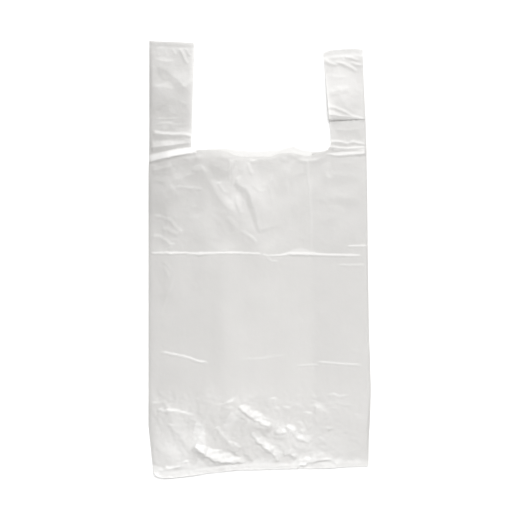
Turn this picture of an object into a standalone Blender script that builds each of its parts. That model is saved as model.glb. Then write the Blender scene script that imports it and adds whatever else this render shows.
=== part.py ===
"""A plastic carrier bag of the vest type, lying flat on its back.

One tube of blown film is folded in at both sides, welded across its bottom and its top, and cut out through every ply
for the mouth, which leaves the two handles. Then the bag is laid down: the welds press the plies together, the front
ply lifts along the creases that the packet and the handling left, and its edge at the mouth draws back a little.

Metres, +Z up. X runs across the bag and +Y towards the handles. The rear ply lies on Z = 0.
"""

import math

import bmesh
import bpy
import numpy as np
from mathutils import Matrix

# The film tube, flat
bag_width = 0.305  # with both gussets folded in
bag_length = 0.610  # from the bottom edge to the handles' top edge
gusset_depth = 0.076  # how far each side is folded in
film_wall = 0.0003  # the film as modelled, thicker than the real 18 microns
ply_pitch = 0.0010  # from one ply to the next while the tube is slack
fold_steps = 3  # facets round each fold

# The welds
weld_width = 0.003
weld_skirt = 0.007  # loose film outside each weld
weld_cover = 0.00006  # how far inside the outer plies' faces a weld stays

# The mouth and the handles
handle_length = 0.152
handle_width_top = 0.0595
handle_width_base = 0.0552
mouth_offset = 0.0033  # the die struck this far right of the middle
mouth_corner = 0.008

# How the bag lies
slack_gap = 0.0005  # air between two plies
weld_gap = 0.0001  # and where a weld or a pleat presses them together
skirt_gap = 0.0003  # and at the loose edge outside a weld
middle_gap = 0.0012  # between front and rear where there is no gusset
press_length = 0.030  # over which the plies open out from a weld
sag_run = 0.020  # over which the front ply comes down beside a gusset
wave_height = 0.0006
wave_length = 0.115
bottom_rise = 0.0175  # the bottom's right corner lies higher than its left
bottom_rise_reach = 0.315
top_pinch = 0.0075  # the right side leans in at the top
foot_spread = 0.0045  # and out at the bottom
left_corner_pinch = 0.0075  # the bottom corners are drawn in
right_corner_pinch = 0.0030
corner_reach = 0.075
mouth_draw = 0.0045  # the front edge of the mouth lies back from the rear one
mouth_draw_reach = 0.060
crease_unit = 0.001  # the creases' heights and half widths are counted in this

# The pleat across the right handle, folded back on itself twice
pleat_lip = 0.043  # from the mouth to the fold that lies on top
pleat_overlap = 0.0045
pleat_gap = 0.0003  # between its layers
pleat_fall = 0.045  # over which the handle comes down again above it
pleat_steps = 4  # facets round each of its folds

# The mesh of the film
front_cell = 0.020
hidden_cell = 0.038  # across the rear ply and the gussets
score_snap = 0.0004  # a crease this near a corner of the mesh runs through it

half_width = bag_width / 2
fold_radius = ply_pitch / 2
fold_centre = half_width - fold_radius
gusset_end = half_width - gusset_depth + fold_radius
stack_height = 3 * ply_pitch + film_wall
mouth_level = bag_length - handle_length
pressed_stack = 4 * film_wall + 3 * weld_gap
pleat_radius = (pressed_stack + pleat_gap) / 2
pleat_arc = math.pi * pleat_radius
pleat_start = mouth_level + pleat_lip + pleat_radius + pleat_overlap  # where the first fold begins
pleat_return = pleat_start + pleat_arc + pleat_overlap  # where the second one does
pleat_end = pleat_return + pleat_arc


class Crease:
    """A ridge of the film along a line of points on the flat bag."""

    def __init__(self, points, height, half_span, taper=0.0, through=False):
        self.points = [np.array(p) for p in points]
        self.height = height * crease_unit
        self.half_span = half_span * crease_unit
        self.taper = taper  # the share of the line over which each end dies away
        self.through = through  # the whole stack rises, not the front ply alone

    def segments(self):
        return list(zip(self.points[:-1], self.points[1:]))

    def lift(self, x, y):
        """The tent that the crease makes over each point."""
        nearest = np.full(x.shape, np.inf)
        place = np.zeros(x.shape)
        passed = 0
        for start, end in self.segments():
            along = end - start
            length = np.linalg.norm(along)
            share = ((x - start[0]) * along[0] + (y - start[1]) * along[1]) / length**2
            share = np.clip(share, 0, 1)
            away = np.hypot(x - start[0] - share * along[0], y - start[1] - share * along[1])
            place = np.where(away < nearest, passed + share * length, place)
            nearest = np.minimum(nearest, away)
            passed += length
        tent = self.height * np.clip(1 - nearest / self.half_span, 0, None)
        if self.taper:
            from_end = np.minimum(place, passed - place) / (self.taper * passed)
            tent *= 0.15 + 0.85 * np.clip(from_end, 0, 1)
        return tent


def on_body(*shares):
    """Points of the flat bag below the mouth: from -1 to 1 across it, and from 0 to 1 up to the mouth."""
    return [(across * half_width, up * mouth_level) for across, up in shares]


def on_handle(side, *shares):
    """Points of a handle, left -1 or right 1: from -1 at its outer edge to 1 at the inner one, and from 0 to 1 up."""
    half = handle_width_base / 2
    return [(side * (half_width - half - across * half), mouth_level + up * handle_length) for across, up in shares]


def packet_creases():
    """The folds of the packet, straight across the bag, each as long as it still shows."""
    return [
        Crease(on_body((-0.986, 0.686), (-0.383, 0.690), (0.206, 0.686), (0.921, 0.683)), 2.2, 4.5),
        Crease(on_body((0.807, 0.706), (0.990, 0.706)), 1.0, 3.5),
        Crease(on_body((-0.899, 0.388), (-0.567, 0.356), (-0.446, 0.349)), 1.8, 4.0, taper=0.2),
        Crease(on_body((-0.205, 0.351), (0.279, 0.368)), 1.2, 4.5, taper=0.3),
        Crease(on_body((0.307, 0.328), (0.549, 0.338), (0.941, 0.329)), 1.4, 4.5, taper=0.2),
        Crease(on_body((-0.973, 0.972), (-0.588, 1.011)), 2.8, 5.5),
        Crease(on_body((0.653, 0.988), (1.000, 0.998)), 2.4, 4.5),
    ]


def mouth_creases():
    """Creases that run down from the mouth and in from the left edge."""
    return [
        Crease(on_body((-0.482, 0.960), (-0.319, 0.859), (-0.165, 0.798), (-0.014, 0.722)), 2.4, 11, taper=0.3),
        Crease(on_body((-0.224, 0.985), (-0.150, 0.890)), 1.8, 8, taper=0.4),
        Crease(on_body((0.240, 0.975), (0.280, 0.840)), 1.5, 7, taper=0.4),
        Crease(on_body((0.447, 0.972), (0.479, 0.840)), 1.5, 6, taper=0.4),
        Crease(on_body((-0.940, 0.808), (-0.730, 0.773)), 1.4, 8, taper=0.4),
        Crease(on_body((-0.947, 0.749), (-0.763, 0.727)), 1.3, 7, taper=0.4),
    ]


def handle_creases():
    """The packet's fold at the foot of the right handle, a crease on the left one, and the welds' gathers."""
    creases = [
        Crease(on_handle(1, (-1.0, 0.050), (1.0, 0.062)), 1.8, 4.5, through=True),
        Crease(on_handle(1, (-0.7, 0.600), (0.5, 0.490)), 1.0, 6, taper=0.4),
        Crease(on_handle(-1, (-0.62, 0.118), (1.0, 0.112)), 1.8, 5.5),
        Crease(on_handle(-1, (-0.4, 0.640), (0.7, 0.480)), 0.9, 7, taper=0.4),
    ]
    gather_top = 1 - (weld_skirt + weld_width) / handle_length
    gather_foot = gather_top - 0.12
    for side, across, lean in ((-1, -0.45, 0.08), (-1, 0.10, 0.16), (-1, 0.62, 0.24), (1, 0.15, -0.45), (1, -0.50, -0.30)):
        gathers = on_handle(side, (across, gather_top), (across + lean, gather_foot))
        creases.append(Crease(gathers, 1.3, 3.4, taper=0.5))
    return creases


def bottom_creases():
    """The crumpled film above the bottom weld."""
    return [
        Crease(on_body((-0.611, 0.096), (-0.370, 0.063), (-0.155, 0.040)), 4.0, 9, taper=0.4),
        Crease(on_body((-0.611, 0.180), (-0.560, 0.132), (-0.611, 0.096)), 2.2, 8, taper=0.3),
        Crease(on_body((-0.875, 0.209), (-0.583, 0.196)), 1.3, 6, taper=0.4),
        Crease(on_body((-0.390, 0.146), (-0.182, 0.084)), 2.2, 6, taper=0.4),
        Crease(on_body((-0.176, 0.205), (0.108, 0.153), (0.441, 0.084)), 3.4, 10, taper=0.3),
        Crease(on_body((-0.087, 0.136), (0.154, 0.061)), 3.0, 8, taper=0.4),
        Crease(on_body((0.230, 0.048), (0.400, 0.056)), 2.4, 7, taper=0.4),
        Crease(on_body((0.608, 0.215), (0.545, 0.099)), 1.7, 9, taper=0.4),
    ]


all_creases = packet_creases() + mouth_creases() + handle_creases() + bottom_creases()


def smooth_share(value, low, high):
    """0 below low, 1 above high, and an S-curve between them."""
    share = np.clip((value - low) / (high - low), 0, 1)
    return share * share * (3 - 2 * share)


def spaced(start, end, cell):
    """Places from start to end, both included, about a cell apart."""
    count = max(1, round(abs(end - start) / cell))
    return [start + (end - start) * i / count for i in range(count + 1)]


def fold_arc(centre_x, centre_z, outward):
    """The points between the two ends of a half-round fold, from its upper ply to its lower one."""
    points = []
    for i in range(1, fold_steps):
        turn = math.pi * i / fold_steps
        points.append((centre_x + outward * fold_radius * math.sin(turn), centre_z + fold_radius * math.cos(turn)))
    return points


def tube_profile():
    """The middle of the film round the flat tube, seen along the bag: front ply, gusset, rear ply, gusset."""
    level = [film_wall / 2 + k * ply_pitch for k in range(4)]
    right = [(x, level[3]) for x in spaced(0, fold_centre, front_cell)]
    right += fold_arc(fold_centre, level[2] + fold_radius, 1)
    right += [(x, level[2]) for x in spaced(fold_centre, gusset_end, hidden_cell)]
    right += fold_arc(gusset_end, level[1] + fold_radius, -1)
    right += [(x, level[1]) for x in spaced(gusset_end, fold_centre, hidden_cell)]
    right += fold_arc(fold_centre, level[0] + fold_radius, 1)
    right += [(x, level[0]) for x in spaced(fold_centre, 0, hidden_cell)]
    left = [(-x, z) for x, z in reversed(right[1:-1])]
    return right + left


def film_tube():
    """The tube's middle surface: its profile extruded up the length of the bag, row by row."""
    mesh = bmesh.new()
    ring = [mesh.verts.new((x, 0, z)) for x, z in tube_profile()]
    edges = [mesh.edges.new((a, b)) for a, b in zip(ring, ring[1:] + ring[:1])]
    weld_inner = weld_skirt + weld_width
    rows = [0, weld_skirt] + spaced(weld_inner, bag_length - weld_inner, front_cell)
    rows += [bag_length - weld_skirt, bag_length]
    for low, high in zip(rows[:-1], rows[1:]):
        made = bmesh.ops.extrude_edge_only(mesh, edges=edges)["geom"]
        edges = [item for item in made if isinstance(item, bmesh.types.BMEdge)]
        new_verts = [item for item in made if isinstance(item, bmesh.types.BMVert)]
        bmesh.ops.translate(mesh, verts=new_verts, vec=(0, high - low, 0))
    bmesh.ops.recalc_face_normals(mesh, faces=mesh.faces)
    return mesh


def cut_through(mesh, faces, place, normal):
    """Cuts edges into some faces where a plane crosses them."""
    edges = {edge for face in faces for edge in face.edges}
    verts = {vert for face in faces for vert in face.verts}
    bmesh.ops.bisect_plane(
        mesh,
        geom=faces + list(edges) + list(verts),
        dist=score_snap,
        plane_co=(place[0], place[1], 0),
        plane_no=(normal[0], normal[1], 0),
    )


def score(mesh, crease):
    """Cuts edges into the front ply along a crease and along its two feet, so that the crease bends there."""
    front = 3 * ply_pitch
    for start, end in crease.segments():
        along = end - start
        across = np.array((-along[1], along[0])) / np.linalg.norm(along)
        for offset in (-crease.half_span, 0, crease.half_span):
            reach = crease.half_span + front_cell
            faces = []
            for face in mesh.faces:
                middle = face.calc_center_median()
                place = np.array((middle.x, middle.y)) - start
                share = np.clip(place @ along / (along @ along), 0, 1)
                if middle.z > front and np.linalg.norm(place - share * along) < reach:
                    faces.append(face)
            cut_through(mesh, faces, start + offset * across, across)


def score_pleat(mesh):
    """Cuts rows into every ply of the right handle, where the pleat's two folds bend it."""
    handle_edge = mouth_offset + half_width - max(handle_width_base, handle_width_top) - front_cell
    for fold_start in (pleat_start, pleat_return):
        for i in range(pleat_steps + 1):
            row = fold_start + pleat_arc * i / pleat_steps
            faces = []
            for face in mesh.faces:
                middle = face.calc_center_median()
                if middle.x > handle_edge and abs(middle.y - row) < front_cell:
                    faces.append(face)
            cut_through(mesh, faces, (0, row), (0, 1))


def box(name, low, high, collection):
    """A helper block between two corners."""
    mesh = bmesh.new()
    size = [b - a for a, b in zip(low, high)]
    middle = [(a + b) / 2 for a, b in zip(low, high)]
    place = Matrix.Translation(middle) @ Matrix.Diagonal((*size, 1))
    bmesh.ops.create_cube(mesh, size=1, matrix=place)
    return helper(name, mesh, collection)


def helper(name, mesh, collection):
    """A cutter or a weld: it shapes the bag and isn't part of it."""
    data = bpy.data.meshes.new(name)
    mesh.to_mesh(data)
    mesh.free()
    obj = bpy.data.objects.new(name, data)
    obj.hide_render = True
    obj.display_type = "WIRE"
    collection.objects.link(obj)
    return obj


def weld(name, start, collection):
    """A bar that joins all four plies across the tube, from start up the bag."""
    low = (-fold_centre, start, weld_cover)
    high = (fold_centre, start + weld_width, stack_height - weld_cover)
    return box(name, low, high, collection)


def mouth_outline():
    """The die's outline: down the left handle, round the corner, along the mouth, and up the right handle."""
    base_left = mouth_offset - half_width + handle_width_base
    base_right = mouth_offset + half_width - handle_width_base
    top_left = mouth_offset - half_width + handle_width_top
    top_right = mouth_offset + half_width - handle_width_top
    above = bag_length + handle_width_top
    flare = (top_left - base_left) / handle_length
    points = [(base_left + flare * (above - mouth_level), above)]
    for i in range(5):
        turn = math.pi / 2 * i / 4
        points.append(
            (base_left + mouth_corner * (1 - math.cos(turn)), mouth_level + mouth_corner * (1 - math.sin(turn)))
        )
    for i in range(5):
        turn = math.pi / 2 * i / 4
        points.append(
            (base_right - mouth_corner * (1 - math.sin(turn)), mouth_level + mouth_corner * (1 - math.cos(turn)))
        )
    points.append((base_right + (top_right - base_right) / handle_length * (above - mouth_level), above))
    return points


def mouth_cutter(collection):
    """The die as a block, from under the rear ply to over the front one."""
    curve = bpy.data.curves.new("mouth_die", "CURVE")
    curve.dimensions = "2D"
    curve.fill_mode = "BOTH"
    curve.extrude = 2 * stack_height
    spline = curve.splines.new("POLY")
    outline = mouth_outline()
    spline.points.add(len(outline) - 1)
    for point, (x, y) in zip(spline.points, outline):
        point.co = (x, y, 0, 1)
    spline.use_cyclic_u = True
    drawn = bpy.data.objects.new("mouth_die_outline", curve)
    collection.objects.link(drawn)
    bpy.context.view_layer.update()
    data = bpy.data.meshes.new_from_object(drawn.evaluated_get(bpy.context.evaluated_depsgraph_get()))
    mesh = bmesh.new()
    mesh.from_mesh(data)
    bmesh.ops.remove_doubles(mesh, verts=mesh.verts, dist=1e-6)
    bmesh.ops.recalc_face_normals(mesh, faces=mesh.faces)
    bpy.data.objects.remove(drawn)
    return helper("mouth_die", mesh, collection)


def pleat_path(s):
    """Where the middle of the right handle's stack runs: its place along the bag, its height and its heading."""
    first = np.clip((s - pleat_start) / pleat_radius, 0, math.pi)
    second = np.clip((s - pleat_return) / pleat_radius, 0, math.pi)
    back = np.clip(s - pleat_start - pleat_arc, 0, pleat_overlap)
    onward = np.clip(s - pleat_end, 0, None)
    place = np.minimum(s, pleat_start) + pleat_radius * (np.sin(first) - np.sin(second)) - back + onward
    height = pleat_radius * (2 - np.cos(first) - np.cos(second))
    height *= 1 - smooth_share(onward, 0, pleat_fall)
    return place, height, first - second


def ply_heights(x, y):
    """The height of each ply's underside over the table, rear ply first, for points of the flat bag."""
    weld_low = weld_skirt + weld_width
    weld_high = bag_length - weld_skirt - weld_width
    slack = np.clip((y - weld_low) / press_length, 0, 1) * np.clip((weld_high - y) / press_length, 0, 1)
    skirt = np.clip((weld_skirt - y) / weld_skirt, 0, 1) + np.clip((y - bag_length + weld_skirt) / weld_skirt, 0, 1)
    right_handle = smooth_share(x, 0, half_width - handle_width_top) * (y > mouth_level)
    pleat_away = np.maximum(pleat_start - y, y - pleat_end)
    slack = slack * (1 - right_handle * (1 - np.clip(pleat_away / press_length, 0, 1)))
    step = film_wall + weld_gap + (slack_gap - weld_gap) * slack + (skirt_gap - weld_gap) * skirt
    beside_gusset = gusset_end - front_cell
    middle = 1 - smooth_share(np.abs(x), beside_gusset - sag_run, beside_gusset)
    in_body = 1 - smooth_share(y, mouth_level - front_cell, mouth_level + front_cell)
    sag = middle * slack * np.clip(3 * step - film_wall - middle_gap, 0, None)
    inside_edge = np.clip((fold_centre - np.abs(x)) / front_cell, 0, 1)
    turn = 2 * math.pi / wave_length
    wave = np.sin(turn * (x + 0.35 * y)) + np.sin(turn * (0.6 * y - 0.5 * x) + 1.1) + 1.4
    through = np.zeros(x.shape)
    front = wave_height * wave * slack * inside_edge * in_body
    for crease in all_creases:
        if crease.through:
            through += crease.lift(x, y)
        else:
            front += crease.lift(x, y) * np.minimum(1, 0.25 + inside_edge)
    heights = [np.zeros(x.shape), step + 0.2 * through, 2 * step + 0.5 * through]
    heights.append(np.maximum(3 * step - sag, 0) + through + front)
    return heights


def stacked(points):
    """The height of each of the flat bag's points once its plies have closed up."""
    x, y, z = points.T
    heights = ply_heights(x, y)
    ply = np.clip(np.floor((z + film_wall / 8) / ply_pitch), 0, 3).astype(int)
    into = z - ply * ply_pitch
    under = np.choose(ply, heights)
    over = np.choose(np.minimum(ply + 1, 3), heights)
    share = np.clip((into - film_wall) / (ply_pitch - film_wall), 0, 1)
    between = share * (over - under - film_wall)
    return under + np.clip(into, 0, film_wall) + np.where(ply == 3, 0, between)


def lay_down(points):
    """Moves the finished flat bag's points to where they lie."""
    x, y, z = points.T
    raised = stacked(points)
    in_handle = (x > 0) & (y > mouth_level + mouth_corner)
    place, height, heading = pleat_path(y)
    from_middle = raised - pressed_stack / 2
    y_pleated = np.where(in_handle, place - np.sin(heading) * from_middle, y)
    raised = np.where(in_handle, height + np.cos(heading) * from_middle + pressed_stack / 2, raised)

    right_share = np.clip(0.5 + x / bag_width, 0, 1)
    up_share = y / bag_length
    lean = right_share * (foot_spread * (1 - up_share) - top_pinch * up_share**2)
    corner_pinch = np.where(x < 0, left_corner_pinch, right_corner_pinch)
    corner = np.clip(1 - y / corner_reach, 0, 1) * corner_pinch
    across = x + lean - corner * x / half_width
    rise = bottom_rise * (1 - (1 - right_share) ** 1.6) * np.clip(1 - y / bottom_rise_reach, 0, 1)
    in_mouth = np.clip((fold_centre - handle_width_base - np.abs(x - mouth_offset)) / handle_width_base, 0, 1)
    draw = mouth_draw * in_mouth * np.clip(1 - (mouth_level - y) / mouth_draw_reach, 0, 1) * z / stack_height
    return np.stack([across, y_pleated + rise - draw, raised], axis=1)


def on_origin(points):
    """Puts the middle of the bag's box over the origin and its rear ply on Z = 0."""
    low = points.min(axis=0)
    high = points.max(axis=0)
    return points - np.array(((low[0] + high[0]) / 2, (low[1] + high[1]) / 2, low[2]))


def film_material():
    material = bpy.data.materials.new("white_film")
    material.use_nodes = True
    shader = material.node_tree.nodes["Principled BSDF"]
    shader.inputs["Base Color"].default_value = (0.83, 0.82, 0.80, 1)
    shader.inputs["Roughness"].default_value = 0.32
    shader.inputs["Metallic"].default_value = 0
    shader.inputs["Alpha"].default_value = 0.85
    return material


def carrier_bag(parts, cutters):
    """The whole bag, one piece of film."""
    surface = film_tube()
    for crease in all_creases:
        score(surface, crease)
    score_pleat(surface)
    data = bpy.data.meshes.new("carrier_bag")
    surface.to_mesh(data)
    surface.free()
    bag = bpy.data.objects.new("carrier_bag", data)
    parts.objects.link(bag)

    wall = bag.modifiers.new("film_wall", "SOLIDIFY")
    wall.thickness = film_wall
    wall.offset = 0
    wall.use_even_offset = True
    shapes = [
        ("UNION", weld("bottom_weld", weld_skirt, cutters)),
        ("UNION", weld("top_weld", bag_length - weld_skirt - weld_width, cutters)),
        ("DIFFERENCE", mouth_cutter(cutters)),
    ]
    for operation, other in shapes:
        modifier = bag.modifiers.new(other.name, "BOOLEAN")
        modifier.operation = operation
        modifier.object = other

    bpy.context.view_layer.update()
    flat = bpy.data.meshes.new_from_object(bag.evaluated_get(bpy.context.evaluated_depsgraph_get()))
    bag.modifiers.clear()
    bag.data = flat
    points = np.empty(len(flat.vertices) * 3)
    flat.vertices.foreach_get("co", points)
    lying = on_origin(lay_down(points.reshape(-1, 3)))
    flat.vertices.foreach_set("co", lying.ravel())
    flat.update()
    flat.materials.clear()
    flat.materials.append(film_material())
    flat.shade_smooth()
    flat.set_sharp_from_angle(angle=math.radians(20))
    return bag


def main():
    for obj in list(bpy.data.objects):
        bpy.data.objects.remove(obj, do_unlink=True)
    parts = bpy.data.collections.new("plastic_carrier_bag")
    cutters = bpy.data.collections.new("cutters")
    for collection in (parts, cutters):
        bpy.context.scene.collection.children.link(collection)
    carrier_bag(parts, cutters)


main()
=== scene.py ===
import math

import bmesh
import bpy
import numpy as np
from mathutils.bvhtree import BVHTree
from mathutils.geometry import delaunay_2d_cdt
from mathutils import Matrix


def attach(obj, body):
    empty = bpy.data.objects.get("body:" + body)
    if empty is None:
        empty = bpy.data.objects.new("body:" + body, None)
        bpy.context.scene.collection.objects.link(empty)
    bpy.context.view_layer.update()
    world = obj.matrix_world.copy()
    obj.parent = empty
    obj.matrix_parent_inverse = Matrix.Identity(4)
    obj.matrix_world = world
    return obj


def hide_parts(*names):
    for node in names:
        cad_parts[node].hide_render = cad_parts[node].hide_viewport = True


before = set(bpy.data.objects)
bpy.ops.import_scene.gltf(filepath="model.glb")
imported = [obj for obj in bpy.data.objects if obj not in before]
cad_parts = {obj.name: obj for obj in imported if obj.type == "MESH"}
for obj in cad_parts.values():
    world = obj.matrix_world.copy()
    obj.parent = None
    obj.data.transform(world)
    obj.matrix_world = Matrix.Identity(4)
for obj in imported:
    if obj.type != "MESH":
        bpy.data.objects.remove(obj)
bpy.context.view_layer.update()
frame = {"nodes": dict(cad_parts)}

print("frame loaded:", ", ".join(frame["nodes"]))

# The bag as cut, in millimetres, with the values of its CAD solid
bagCut = {
    "width": 305.0,  # with both gussets folded in
    "length": 610.0,
    "gusset": 76.0,
    "mouthLevel": 458.0,
    "handleTop": 59.5,
    "handleBase": 55.2,
    "mouthOffset": 3.3,  # the die struck this far right of the middle
    "mouthCorner": 8.0,
    "skirt": 7.0,  # loose film outside each weld
    "weld": 3.0,
}

# How it lies, in millimetres
bagLie = {
    "shiftX": -1.79,  # the middle of its box is over the origin
    "shiftY": -305.0,
    "bottomRise": 17.5,  # its bottom right corner lies higher than its left
    "riseReach": 315.0,
    "topPinch": 7.5,  # the right side leans in at the top
    "footSpread": 4.5,  # and out at the bottom
    "leftPinch": 7.5,  # the bottom corners are drawn in
    "rightPinch": 3.0,
    "pinchReach": 75.0,
    "leftDrift": 1.1,  # the left side lies this far in above the mouth
    "edgeReach": 55.0,  # how far up the bottom edge's wavering is felt
    "mouthReach": 46.0,  # and down from the mouth's
    "topReach": 22.0,  # and down from the handles' tops
    "mouthSpan": (-95, -84, 84, 97),  # the mouth fades in and out again between these
    "restGap": 0.12,  # the rear ply over the floor
    "footLift": 0.35,  # the welded bottom edge stands off the floor
    "leftFootLift": 3.0,  # and this many times as far again at its left
    "cornerCurl": 0.9,  # the bottom left corner turns up
    "cornerReach": 16.0,
    "skirtCrinkle": 0.4,
    "pressedStep": 0.11,  # from ply to ply at a weld or a pleat
    "slackStep": 0.38,
    "skirtStep": 0.12,  # how much more the loose film outside a weld opens
    "middleStep": 0.85,  # front over rear where no gusset lies between them
    "middleRun": 22.0,  # over which the front ply comes down beside a gusset
    "pressRun": 28.0,
    "gussetLift": 2.2,  # the left gusset's inner fold holds the film up
    "handleLean": 3.0,  # the right handle's inner edge stands up
    "mouthCurl": 0.9,  # the front ply's edge at the mouth
    "mouthBump": 4.2,  # and where it leans back at its left
    "mouthRoll": 0.5,  # the soft roll behind that edge
    "mouthLip": 0.4,
    "pleatLip": 43.0,  # from the mouth to the fold that lies on top
    "pleatOverlap": 5.0,
    "pleatFall": 66.0,
    "looseRadius": 0.95,  # the pleat's folds at the handle's inner edge
    "tightRadius": 0.25,
}

# The film's mesh, in millimetres
bagMesh = {
    "frontCell": 1.65,
    "rearCell": 12.7,
    "gussetCells": 5,
    "foldSteps": 3,
    "foldBulge": 0.16,  # how far a fold stands out past its line
    "cutSliver": 0.02,  # a cut this near a corner of the mesh runs through it
    "cutReach": 3.5,  # faces this near the die's line are cut by it
    "rows": (  # from, to, row height
        (0, 12, 1.0),
        (12, 116, 1.15),
        (116, 144, 1.9),
        (144, 186, 1.2),
        (186, 294, 2.4),
        (294, 334, 1.1),
        (334, 428, 1.75),
        (428, 474, 1.15),
        (474, 496, 1.6),
        (496, 502, 0.9),
        (502, 524, 0.5),
        (524, 530, 0.9),
        (530, 582, 1.5),
        (582, 610, 1.05),
    ),
}

# Creases. Each has its crest's points, in millimetres from the middle of the bag as it lies, then its facet's
# width and tilt, the run of its other side, and the share of its length over which each end fades. A sixth
# value is the share of the other side that falls gently. The facet lies on the left of the points' way, or on
# its right where the tilt is negative. A width is one number, or one for each point.
packetCreases = [
    (((-152, 9.0), (-123, 8.2), (-108, 8.8), (-92, 8.0), (-84, 7.0), (-70, 8.2), (-50, 9.2), (-25, 8.6),
      (3, 8.0)),
     (2.2, 3.4, 2.8, 2.6, 4.6, 3.0, 2.0, 3.0, 2.0), 0.30, 1.5, 0.02),
    (((3, 8.0), (12, 5.2), (30, 5.8), (42, 7.4), (75, 6.4), (110, 5.6), (141, 5.6)),
     (1.8, 1.8, 2.4, 3.6, 3.4, 3.2, 2.2), 0.28, 1.2, 0.02),
    (((36, 8.6), (56, 8.2), (84, 7.6)), (5, 9, 5), 0.09, 3.0, 0.2),
    (((122, 18.6), (136, 19.0), (151, 18.8)), 2.2, 0.24, 1.6, 0.1),
    (((106, -7.0), (128, -7.4), (151, -6.8)), 2.0, 0.16, 2.0, 0.2),
    (((8.7, 6.0), (13, 1.0), (17, -1.4), (27, -2.0)), 2.0, 0.2, 2.0, 0.2),
    (((-139, -127.6), (-123, -131.2), (-106, -134.6), (-95.5, -137.6), (-87, -141.2), (-69, -143.2)),
     (2.0, 2.4, 2.4, 2.6, 2.8, 2.2), 0.30, 1.6, 0.12),
    (((-34, -139.0), (-14, -138.0), (8, -136.8), (30, -133.0), (44, -131.0)), 2.4, 0.13, 2.0, 0.25),
    (((50, -147.6), (66, -146.6), (84, -146.2)), 2.2, 0.17, 1.6, 0.15),
    (((76, -142.6), (96, -143.4), (118, -145.6), (144, -146.6)), 2.4, 0.22, 1.5, 0.12),
]

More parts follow.
